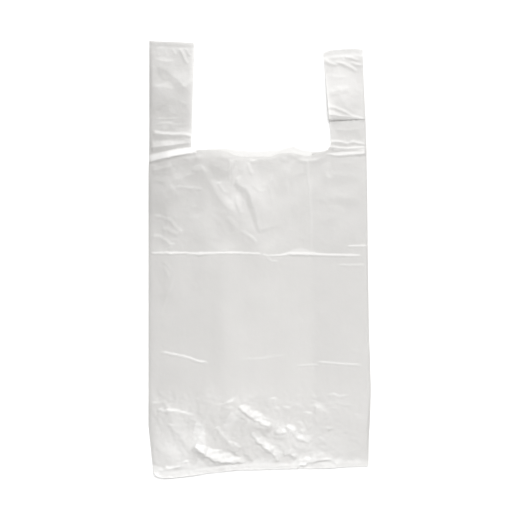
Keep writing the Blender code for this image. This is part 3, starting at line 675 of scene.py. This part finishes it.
# Where the flat bag's points lie in plan, with "along" as their place along the pleated bag
def planPlace(x, y, ply, along):
    half, length, level = bagCut["width"] / 2, bagCut["length"], bagCut["mouthLevel"]

    # the slant of the sides, the corners drawn in and the bottom's climb to the right
    rightShare = np.clip(0.5 + x / bagCut["width"], 0, 1)
    up = y / length
    slant = rightShare * (bagLie["footSpread"] * (1 - up) - bagLie["topPinch"] * up**2)
    pinch = np.where(x < 0, bagLie["leftPinch"], bagLie["rightPinch"])
    corner = np.clip(1 - y / bagLie["pinchReach"], 0, 1) * pinch
    planX = x + slant - corner * x / half + bagLie["shiftX"]
    climb = bagLie["bottomRise"] * (1 - (1 - rightShare) ** 1.6) * np.clip(1 - y / bagLie["riseReach"], 0, 1)
    planY = along + climb + bagLie["shiftY"]

    # the sides and the bottom edge waver, and the handles flare
    planX = planX + fromTable(rightEdge, planY) * rightShare**2
    planX = planX + np.where(x < 0, bagLie["leftDrift"] * easedShare(y, level - 40, level + 20), 0)
    leftFlare = (y - level) / (length - level) * easedShare(x, -half, -90)
    planX = planX + np.where((x < 0) & (y > level), leftFlare, 0)
    rightFlare = fromTable(handleFlare, planY) * (1 - easedShare(x, 100, half))
    planX = planX + np.where((x > 0) & (y > level), rightFlare, 0)
    planY = planY + fromTable(bottomEdge, planX) * np.clip(1 - y / bagLie["edgeReach"], 0, 1) ** 1.5

    # the plies part at the mouth, and the handles' tops waver
    front = np.clip(ply / 3, 0, 1)
    leftOut, leftIn, rightIn, rightOut = bagLie["mouthSpan"]
    inMouth = easedShare(planX, leftOut, leftIn) * (1 - easedShare(planX, rightIn, rightOut))
    nearMouth = np.clip(1 - (level + 4 - y) / bagLie["mouthReach"], 0, 1) ** 2 * (y < level + 20)
    cutShift = fromTable(rearMouth, planX) * (1 - front) + fromTable(frontMouth, planX) * front
    planY = planY + cutShift * nearMouth * inMouth
    topShift = np.where(x < 0, fromTable(leftTop, planX), fromTable(rightTop, planX))
    planY = planY + topShift * easedShare(y, length - bagLie["topReach"], length)
    return planX, planY, inMouth


# From ply to ply, and how far the front ply comes down where no gusset lies under it
def plySteps(x, y):
    half, length, level = bagCut["width"] / 2, bagCut["length"], bagCut["mouthLevel"]
    weldLow = bagCut["skirt"] + bagCut["weld"]
    weldHigh = length - weldLow
    run = bagLie["pressRun"]
    slack = np.clip((y - weldLow) / run, 0, 1) * np.clip((weldHigh - y) / run, 0, 1)
    pleated = easedShare(x, 40, 80) * easedShare(y, level, level + 25)
    slack = slack * (1 - 0.85 * pleated)
    bottomSkirt = np.clip((bagCut["skirt"] - y) / bagCut["skirt"], 0, 1)
    topSkirt = np.clip((y - length + bagCut["skirt"]) / bagCut["skirt"], 0, 1)
    step = bagLie["pressedStep"] + (bagLie["slackStep"] - bagLie["pressedStep"]) * slack
    step = step + bagLie["skirtStep"] * (bottomSkirt + topSkirt)
    toFold = np.clip(half - np.abs(x), 0, None)
    step = step * (1 - 0.55 * np.exp(-toFold / 2.4) - 0.22 * np.exp(-toFold / 14))
    inner = half - bagCut["gusset"]
    beside = 1 - easedShare(np.abs(x), inner - bagLie["middleRun"], inner - 1)
    inBody = 1 - easedShare(y, level - 6, level + 12)
    sag = beside * inBody * slack * np.clip(3 * step - bagLie["middleStep"], 0, None)
    return step, sag


# The front ply's creases, held down at the welds and at the side folds
def frontLift(x, y, planX, planY):
    half, length, level = bagCut["width"] / 2, bagCut["length"], bagCut["mouthLevel"]
    sharp, broad, whiteningAndHighlight = frontRelief(planX, planY)
    weldMiddle = bagCut["skirt"] + bagCut["weld"] / 2
    fromWeld = np.minimum(np.abs(y - weldMiddle), np.abs(length - weldMiddle - y))
    toFold = np.clip(half - np.abs(x), 0, None)
    edge = 1 - 0.75 * np.exp(-toFold / 1.6)
    broad = broad * (0.4 + 0.6 * easedShare(fromWeld, 0, 60)) * (1 - 0.6 * np.exp(-toFold / 9))
    lift = (sharp * (1 - 0.45 * bell(fromWeld, 3.0)) + broad) * edge
    overGusset = easedShare(planX, -175, -48) * (1 - easedShare(planX, -48, 90)) * easedShare(y, -10, 150)
    lift += bagLie["gussetLift"] * overGusset * edge
    upHandle = easedShare(y, level - 10, level + 60) * np.clip((length - 6 - y) / 90, 0, 1)
    lift += bagLie["handleLean"] * upHandle * np.clip((half - x) / 60, 0, 1) * (x > 60)
    return lift, whiteningAndHighlight


# The front ply's edge at the mouth curls up, with a soft roll behind it, and leans back at its left
def mouthLift(y, planX, inMouth):
    level = bagCut["mouthLevel"]
    inBody = y < level + 1
    curl = (bagLie["mouthCurl"] * bell(planX - 46, 10) + 0.35) * easedShare(y, level - 12, level) * inBody
    bump = bagLie["mouthBump"] * bell(planX + 62, 22) * np.clip((y - level + 44) / 42, 0, 1) ** 1.4 * inBody
    behind = np.clip(level - y, 0, None)
    wavy = np.clip(0.5 + 0.6 * rolling(planX, 0 * planX, 18, 60, 7, 41), 0, 1.3)
    roll = bagLie["mouthRoll"] * wavy * bell(behind - 9 - 2 * wavy, 4.0)
    lip = bagLie["mouthLip"] * bell(behind, 1.9) * inBody
    return (curl + bump + roll + lip) * inMouth


# The whole stack stands off the floor at the bottom edge, more so at its left
def footHeight(x, y, ply, planX, planY):
    leftFoot = 1 - easedShare(planX, -130, -70)
    edgeRise = np.clip(1 - y / 75, 0, 1) ** 1.6
    leftRise = bagLie["leftFootLift"] * leftFoot * np.clip(1 - y / 110, 0, 1) ** 1.5
    crinkle = bagLie["skirtCrinkle"] * (1 + faceted(planX, planY, 6.0, 61)) * np.clip(1 - y / 16, 0, 1)
    fromCorner = np.hypot(x + bagCut["width"] / 2, y)
    curl = bagLie["cornerCurl"] * np.clip(1 - fromCorner / bagLie["cornerReach"], 0, 1) ** 2
    return bagLie["footLift"] * (edgeRise + leftRise) + crinkle + curl * (0.4 + 0.2 * np.clip(ply, 0, 3))


def layDown(flat):
    x, y, ply = flat.T
    inPleat = (x > 0) & (y > bagCut["mouthLevel"] + bagCut["mouthCorner"])
    inward = np.clip((bagCut["width"] / 2 - x) / bagCut["handleTop"], 0, 1)
    radius = bagLie["tightRadius"] + (bagLie["looseRadius"] - bagLie["tightRadius"]) * inward**1.5
    place, rise, heading = pleatPath(y, radius)
    planX, planY, inMouth = planPlace(x, y, ply, np.where(inPleat, place, y))

    step, sag = plySteps(x, y)
    lift, whiteningAndHighlight = frontLift(x, y, planX, planY)
    height = bagLie["restGap"] + ply * step + footHeight(x, y, ply, planX, planY)
    frontOnly = np.clip(ply - 2, 0, 1)
    height = height + frontOnly * (lift - sag + mouthLift(y, planX, inMouth))

    # the pleat turns the whole stack over, twice
    stack = 3 * bagLie["pressedStep"] + bagLie["restGap"]
    fromMiddle = height - stack / 2
    planY = np.where(inPleat, planY - np.sin(heading) * fromMiddle, planY)
    pleated = rise + np.cos(heading) * fromMiddle + stack / 2
    height = np.maximum(np.where(inPleat, pleated, height), bagLie["restGap"])
    return np.stack([planX, planY, height], axis=1), whiteningAndHighlight


def buildFilm():
    data = flatTube()
    mesh = bmesh.new()
    mesh.from_mesh(data)
    cutMouth(mesh)
    mesh.to_mesh(data)
    mesh.free()
    flat = np.empty(len(data.vertices) * 3)
    data.vertices.foreach_get("co", flat)
    flat = flat.reshape(-1, 3)
    lying, whiteningAndHighlight = layDown(flat)
    data.vertices.foreach_set("co", (lying * 0.001).ravel())
    place = data.attributes.new("flatPlace", "FLOAT_VECTOR", "POINT")
    place.data.foreach_set("vector", (flat * np.array((0.001, 0.001, 1.0))).ravel())
    # the crests' whitening and painted highlights, for the film's colour
    whiteningAndHighlightLayer = data.attributes.new("whiteningAndHighlight", "FLOAT", "POINT")
    whiteningAndHighlightLayer.data.foreach_set("value", whiteningAndHighlight)
    corners = np.empty(len(data.loops), int)
    data.loops.foreach_get("vertex_index", corners)
    unrolled = data.uv_layers.new(name="filmUV")
    across = 0.5 + flat[:, 0] / bagCut["width"]
    rearHalf = np.where(flat[:, 2] < 1.5, 0.5, 0.0)  # the two rear plies lie on the right of the map
    spread = np.stack([across * 0.49 + rearHalf, flat[:, 1] / bagCut["length"]], axis=1)
    unrolled.data.foreach_set("uv", spread[corners].ravel())
    data.update()
    data.shade_smooth()
    film = bpy.data.objects.new("bagFilm", data)
    bpy.context.scene.collection.objects.link(film)
    print("film laid:", len(data.polygons), "faces")
    return film


# Shader maths as Python expressions: a wrapped socket, and one method that adds any node
class Strand:
    def __init__(self, tree, socket):
        self.tree = tree
        self.socket = socket

    def node(self, kind, settings=None, **sockets):
        made = self.tree.nodes.new(kind)
        for name, value in (settings or {}).items():
            setattr(made, name, value)
        for name, value in sockets.items():
            numbered = name[0] == "i" and name[1:].isdigit()
            target = made.inputs[int(name[1:]) if numbered else name]
            if isinstance(value, Strand):
                self.tree.links.new(value.socket, target)
            else:
                target.default_value = value
        return made

    def maths(self, operation, first, second=0.0, clamp=False):
        made = self.node("ShaderNodeMath", {"operation": operation, "use_clamp": clamp}, i0=first, i1=second)
        return Strand(self.tree, made.outputs[0])

    def __add__(self, other):
        return self.maths("ADD", self, other)

    __radd__ = __add__

    def __sub__(self, other):
        return self.maths("SUBTRACT", self, other)

    def __rsub__(self, other):
        return self.maths("SUBTRACT", other, self)

    def __mul__(self, other):
        return self.maths("MULTIPLY", self, other)

    __rmul__ = __mul__

    def __truediv__(self, other):
        return self.maths("DIVIDE", self, other)

    def clipped(self):
        return self.maths("ADD", self, 0.0, clamp=True)

    def size(self):
        return self.maths("ABSOLUTE", self)

    def within(self, middle, half):
        return (1.0 - (self - middle).size() / half).clipped()


filmLook = {
    "white": (0.80, 0.79, 0.775, 1),
    # the streak grey is the film's own streaky tone, and also takes the painted shade
    "streak": (0.745, 0.735, 0.72, 1),
    # painted shade at its deepest
    "paintedShadeGrey": (0.67, 0.66, 0.645, 1),
    "paleAndPaintedLight": (0.965, 0.96, 0.95, 1),  # the welds' paler film, and painted light on the skirts, the mouth strip, the crests and the bright patches
    "lightThrough": (0.95, 0.945, 0.935, 1),
    "roughness": 0.42,
    "coat": 0.8,
    "coatRoughness": 0.28,
    "bending": 1.85,  # the refractive index, high for the film's sheen
    "through": 0.40,  # the share of light that the film lets through, scattered
    "crinkleDepth": 0.0002,
    "dieLines": (110.0, 4.0, 1.0),  # they run up the film, so they are fine across it
    "cloudScale": 28.0,
    "fineScale": 260.0,
}


def filmNoise(vector, scale, detail, roughness):
    made = vector.node("ShaderNodeTexNoise", {}, Vector=vector, Scale=scale, Detail=detail,
                       Roughness=roughness)
    return Strand(vector.tree, made.outputs["Fac"])


def mixedColour(share, first, second):
    made = share.node("ShaderNodeMix", {"data_type": "RGBA"}, i0=share, i6=first, i7=second)
    return Strand(share.tree, made.outputs[2])


# Places on the flat bag, in metres: x across it from its middle and y up it from its bottom edge.
# Painted shade: over the left handle and the upper left of the body, beside and under the mouth, and in a
# band down the body beside the left gusset
def paintedShadeAreas(x, y):
    leftHandle = ((-0.085 - x) * 40.0).clipped() * ((y - 0.35) * 10.0).clipped()
    besideMouth = ((-0.06 - x) * 30.0).clipped() * (y.within(0.42, 0.09) * 2.0).clipped()
    underMouth = x.within(-0.052, 0.022) * y.within(0.432, 0.032)
    downBody = x.within(-0.062, 0.017) * (y.within(0.215, 0.10) * 1.5).clipped()
    return (leftHandle + besideMouth * 0.5 + underMouth * 2.2 + downBody * 0.35).clipped()


# Painted light: highlights and lighter patches on the crumpled bottom, along the pleat's lip and on the
# folded strip at the left handle's base
def paintedLightAreas(x, y, cloud, fine):
    leftCorner = x.within(-0.118, 0.055) * y.within(0.035, 0.075)
    overWeld = x.within(0.06, 0.08) * y.within(0.03, 0.035)
    fanSide = 0.0105 - (y - 0.0455) * 0.22 - (x + 0.084).size() + (cloud - 0.5) * 0.02 + (fine - 0.5) * 0.006
    fan = (fanSide * 260.0).clipped() * ((0.078 - y) * 160.0).clipped() * ((y - 0.038) * 200.0).clipped()
    fan = fan * (0.95 + (fine - 0.5) * 2.0)
    cluster = (x.within(0.037, 0.036) * (y + x * 0.37 - 0.0705).within(0, 0.013) * 2.4).clipped()
    cluster = cluster * (0.50 + (fine - 0.5) * 3.4).clipped()
    streak = ((x - y).within(-0.1148, 0.012) * (x + y).within(0.0384, 0.030) * 2.0).clipped()
    lip = (bagCut["mouthLevel"] + bagLie["pleatLip"] + 3.3 * bagLie["pleatOverlap"]) / 1000 - 0.005
    pleatEdge = ((x - 0.06) * 50.0).clipped() * y.within(lip, 0.003)
    foldedStrip = (y - x * 0.196 - 0.4763).within(0, 0.006) * ((-0.086 - x) * 200.0).clipped()
    bottom = leftCorner * 0.8 + overWeld * 0.55 + fan + cluster * 0.9 + streak * 0.5
    return bottom + pleatEdge * 0.6 + foldedStrip * 1.6


def filmMaterial():
    material = bpy.data.materials.new("whiteFilm")
    material.use_nodes = True
    tree = material.node_tree
    tree.nodes.clear()
    start = Strand(tree, None)
    flat = Strand(tree, start.node("ShaderNodeAttribute", {"attribute_name": "flatPlace"}).outputs["Vector"])
    whiteningAndHighlight = Strand(tree, start.node("ShaderNodeAttribute", {"attribute_name": "whiteningAndHighlight"}).outputs["Fac"])
    x, y, ply = [Strand(tree, part) for part in start.node("ShaderNodeSeparateXYZ", i0=flat).outputs]

    # die lines run up the film, and its thickness drifts across it
    drawn = start.node("ShaderNodeMapping", {"vector_type": "POINT"}, Vector=flat, Scale=filmLook["dieLines"])
    lines = filmNoise(Strand(tree, drawn.outputs[0]), 1.0, 3.0, 0.6)
    cloud = filmNoise(flat, filmLook["cloudScale"], 4.0, 0.55)
    fine = filmNoise(flat, filmLook["fineScale"], 4.0, 0.6)

    # the fused welds; and painted light on the skirts outside them and on the strip of the rear ply that
    # shows at the mouth
    skirt, weld, length = bagCut["skirt"] / 1000, bagCut["weld"] / 1000, bagCut["length"] / 1000
    lowWeld = (y.within(skirt + weld / 2, weld) * 2.0).clipped()
    highWeld = (y.within(length - skirt - weld / 2, weld) * 2.0).clipped()
    welds = (lowWeld + highWeld).clipped()
    uneven = (cloud - 0.5) * 0.045
    lowSkirt = (((skirt + weld) * 1.35 + uneven - y) * 220.0).clipped()
    leftShare = (x * -40.0).clipped()  # less painted light on the left handle's skirt
    highSkirt = ((y - length + (skirt + weld) * 1.1) * 400.0).clipped() * (1.0 - leftShare * 0.6)
    skirts = (lowSkirt + highSkirt) * (0.62 + (cloud - 0.5) * 2.2)
    mouthStrip = (1.0 - ply).clipped() * ((y - bagCut["mouthLevel"] / 1000 + 0.020) * 300.0).clipped()

    # painted shade: the left handle, the upper left body, beside and under the mouth and down the left gusset
    # are darkened, on top of the film's own streaky tone
    paintedShadeShare = paintedShadeAreas(x, y)
    toneAndPaintedShade = ((lines - 0.5) * 0.5 + (cloud - 0.5) * 1.1 + 0.35 + paintedShadeShare * 0.6).clipped()
    toned = mixedColour(toneAndPaintedShade, filmLook["white"], filmLook["streak"])
    toned = mixedColour(paintedShadeShare * 0.6, toned, filmLook["paintedShadeGrey"])
    # painted light: highlights and lighter patches, the skirts, the mouth strip and the crests are mixed
    # toward the pale colour; the welds' own paler tone goes in with them
    paintedLightShare = paintedLightAreas(x, y, cloud, fine)
    weldsAndPaintedLight = (welds * 0.1 + skirts + mouthStrip * 0.55 + whiteningAndHighlight * 0.4 + paintedLightShare).clipped()
    colour = mixedColour(weldsAndPaintedLight, toned, filmLook["paleAndPaintedLight"])
    rough = filmLook["roughness"] + (cloud - 0.5) * 0.16 + (lines - 0.5) * 0.06 - welds * 0.10 + whiteningAndHighlight * 0.05
    relief = (fine - 0.5) * 0.30 + (cloud - 0.5) * 2.2 + (lines - 0.5) * 0.02
    bump = start.node("ShaderNodeBump", {}, Strength=1.0, Distance=filmLook["crinkleDepth"], Height=relief)
    bump = Strand(tree, bump.outputs[0])

    glossy = start.node("ShaderNodeBsdfPrincipled", {}, Roughness=rough.clipped(), Normal=bump)
    glossy.inputs["IOR"].default_value = filmLook["bending"]
    glossy.inputs["Coat Weight"].default_value = filmLook["coat"]
    glossy.inputs["Coat Roughness"].default_value = filmLook["coatRoughness"]
    tree.links.new(colour.socket, glossy.inputs["Base Color"])
    through = start.node("ShaderNodeBsdfTranslucent", {}, Color=filmLook["lightThrough"], Normal=bump)
    mixed = start.node("ShaderNodeMixShader", {}, i0=filmLook["through"], i1=Strand(tree, glossy.outputs[0]),
                       i2=Strand(tree, through.outputs[0]))
    output = start.node("ShaderNodeOutputMaterial")
    tree.links.new(mixed.outputs[0], output.inputs["Surface"])
    return material


film = buildFilm()
film.data.materials.append(filmMaterial())
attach(film, "root")
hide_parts("carrier_bag")
print("film finished")

# The floor, the lights and the camera
studio = {
    "floorSize": 6.0,
    "floorColour": (0.93, 0.93, 0.925, 1),
    "worldStrength": 0.16,
    "keyPower": 805.0,
    "keySize": (9.0, 5.0),
    "keyDistance": 8.0,
    "keyElevation": 59.0,
    "keyAzimuth": 80.0,
    "fillPower": 5.2,
    "fillSize": (1.3, 0.75),
    "fillDistance": 1.33,
    "fillElevation": 62.0,
    "fillAzimuth": -75.0,
    "cameraHeight": 1.8,
    "cameraSensor": 36.0,
    "frameWidth": 0.7243,  # of the floor that the picture takes in
    "middle": (0.00077, 0.0),
}


def studioFloor():
    bpy.ops.object.select_all(action="DESELECT")
    bpy.ops.mesh.primitive_plane_add(size=studio["floorSize"])
    floor = bpy.context.object
    floor.name = "studioFloor"
    material = bpy.data.materials.new("palePaper")
    material.use_nodes = True
    shader = material.node_tree.nodes["Principled BSDF"]
    shader.inputs["Base Color"].default_value = studio["floorColour"]
    shader.inputs["Roughness"].default_value = 0.9
    shader.inputs["Specular IOR Level"].default_value = 0.0
    floor.data.materials.append(material)


def softLight(name, power, size, azimuth, elevation, distance):
    data = bpy.data.lights.new(name, "AREA")
    data.shape = "RECTANGLE"
    data.size, data.size_y = size
    data.energy = power
    lamp = bpy.data.objects.new(name, data)
    bpy.context.scene.collection.objects.link(lamp)
    turn, rise = math.radians(azimuth), math.radians(elevation)
    out = distance * math.cos(rise)
    lamp.location = (out * math.cos(turn), out * math.sin(turn), distance * math.sin(rise))
    lamp.rotation_euler = (math.pi / 2 - rise, 0, turn + math.pi / 2)


studioFloor()
for lightName in ("key", "fill"):
    values = [studio[lightName + part] for part in ("Power", "Size", "Azimuth", "Elevation", "Distance")]
    softLight(lightName + "Light", *values)

scene = bpy.context.scene
world = bpy.data.worlds.new("studioAir")
world.use_nodes = True
air = world.node_tree.nodes["Background"]
air.inputs["Color"].default_value = (1, 1, 1, 1)
air.inputs["Strength"].default_value = studio["worldStrength"]
scene.world = world
scene.view_settings.view_transform = "Standard"

eye = bpy.data.cameras.new("studioCamera")
eye.sensor_width = studio["cameraSensor"]
eye.lens = studio["cameraSensor"] * studio["cameraHeight"] / studio["frameWidth"]
camera = bpy.data.objects.new("studioCamera", eye)
camera.location = (*studio["middle"], studio["cameraHeight"])
scene.collection.objects.link(camera)
scene.camera = camera
print("studio set")
